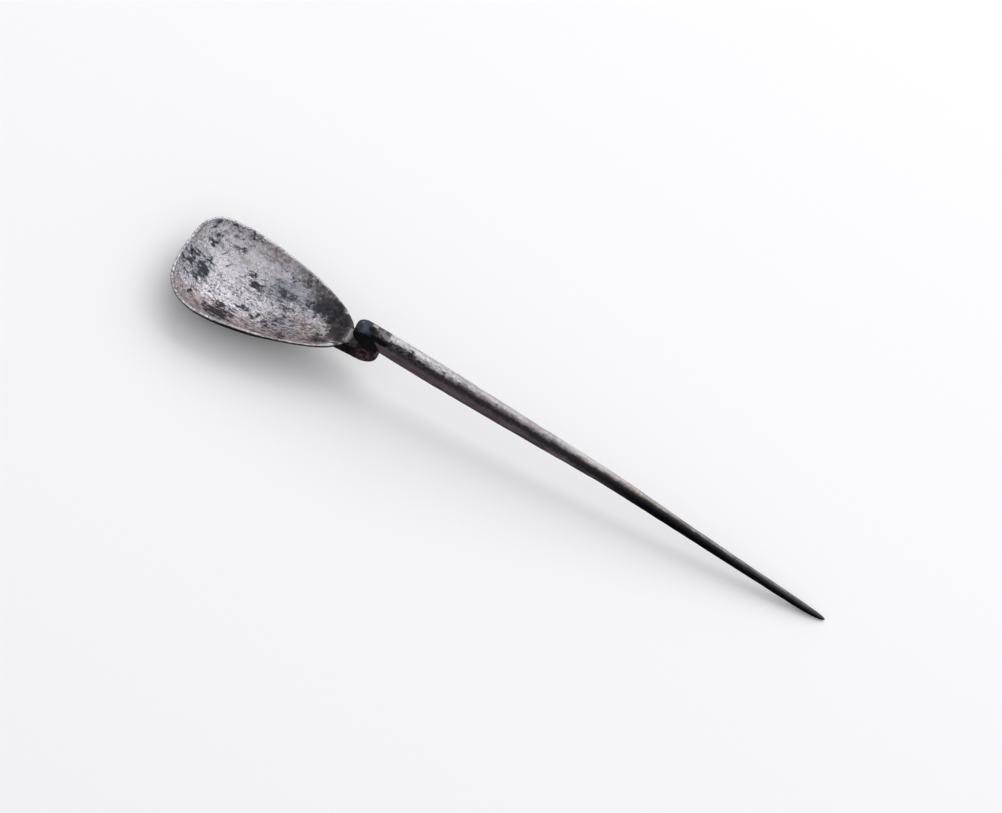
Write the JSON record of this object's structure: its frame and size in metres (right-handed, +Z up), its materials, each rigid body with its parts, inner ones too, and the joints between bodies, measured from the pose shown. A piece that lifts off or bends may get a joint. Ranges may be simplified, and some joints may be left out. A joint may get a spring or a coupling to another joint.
{
  "type": "silver spoon",
  "caption": "Long table spoon wrought in one piece, with a shallow pear-shaped bowl, a keeled step behind it and a square bar drawn out to a round point.",
  "frame": {"origin": "middle of the spoon's footprint on the table, as it lies on its belly and the point of its handle", "axes": "+X from the bowl to the point of the handle, +Z up, +Y to the left of the handle seen from above with the bowl in front"},
  "size_m": [0.1492, 0.0246, 0.0138],
  "materials": {
    "tarnished_silver": "satin"
  },
  "bodies": {
    "root": {"spoon": "tarnished_silver"}
  },
  "joints": []
}
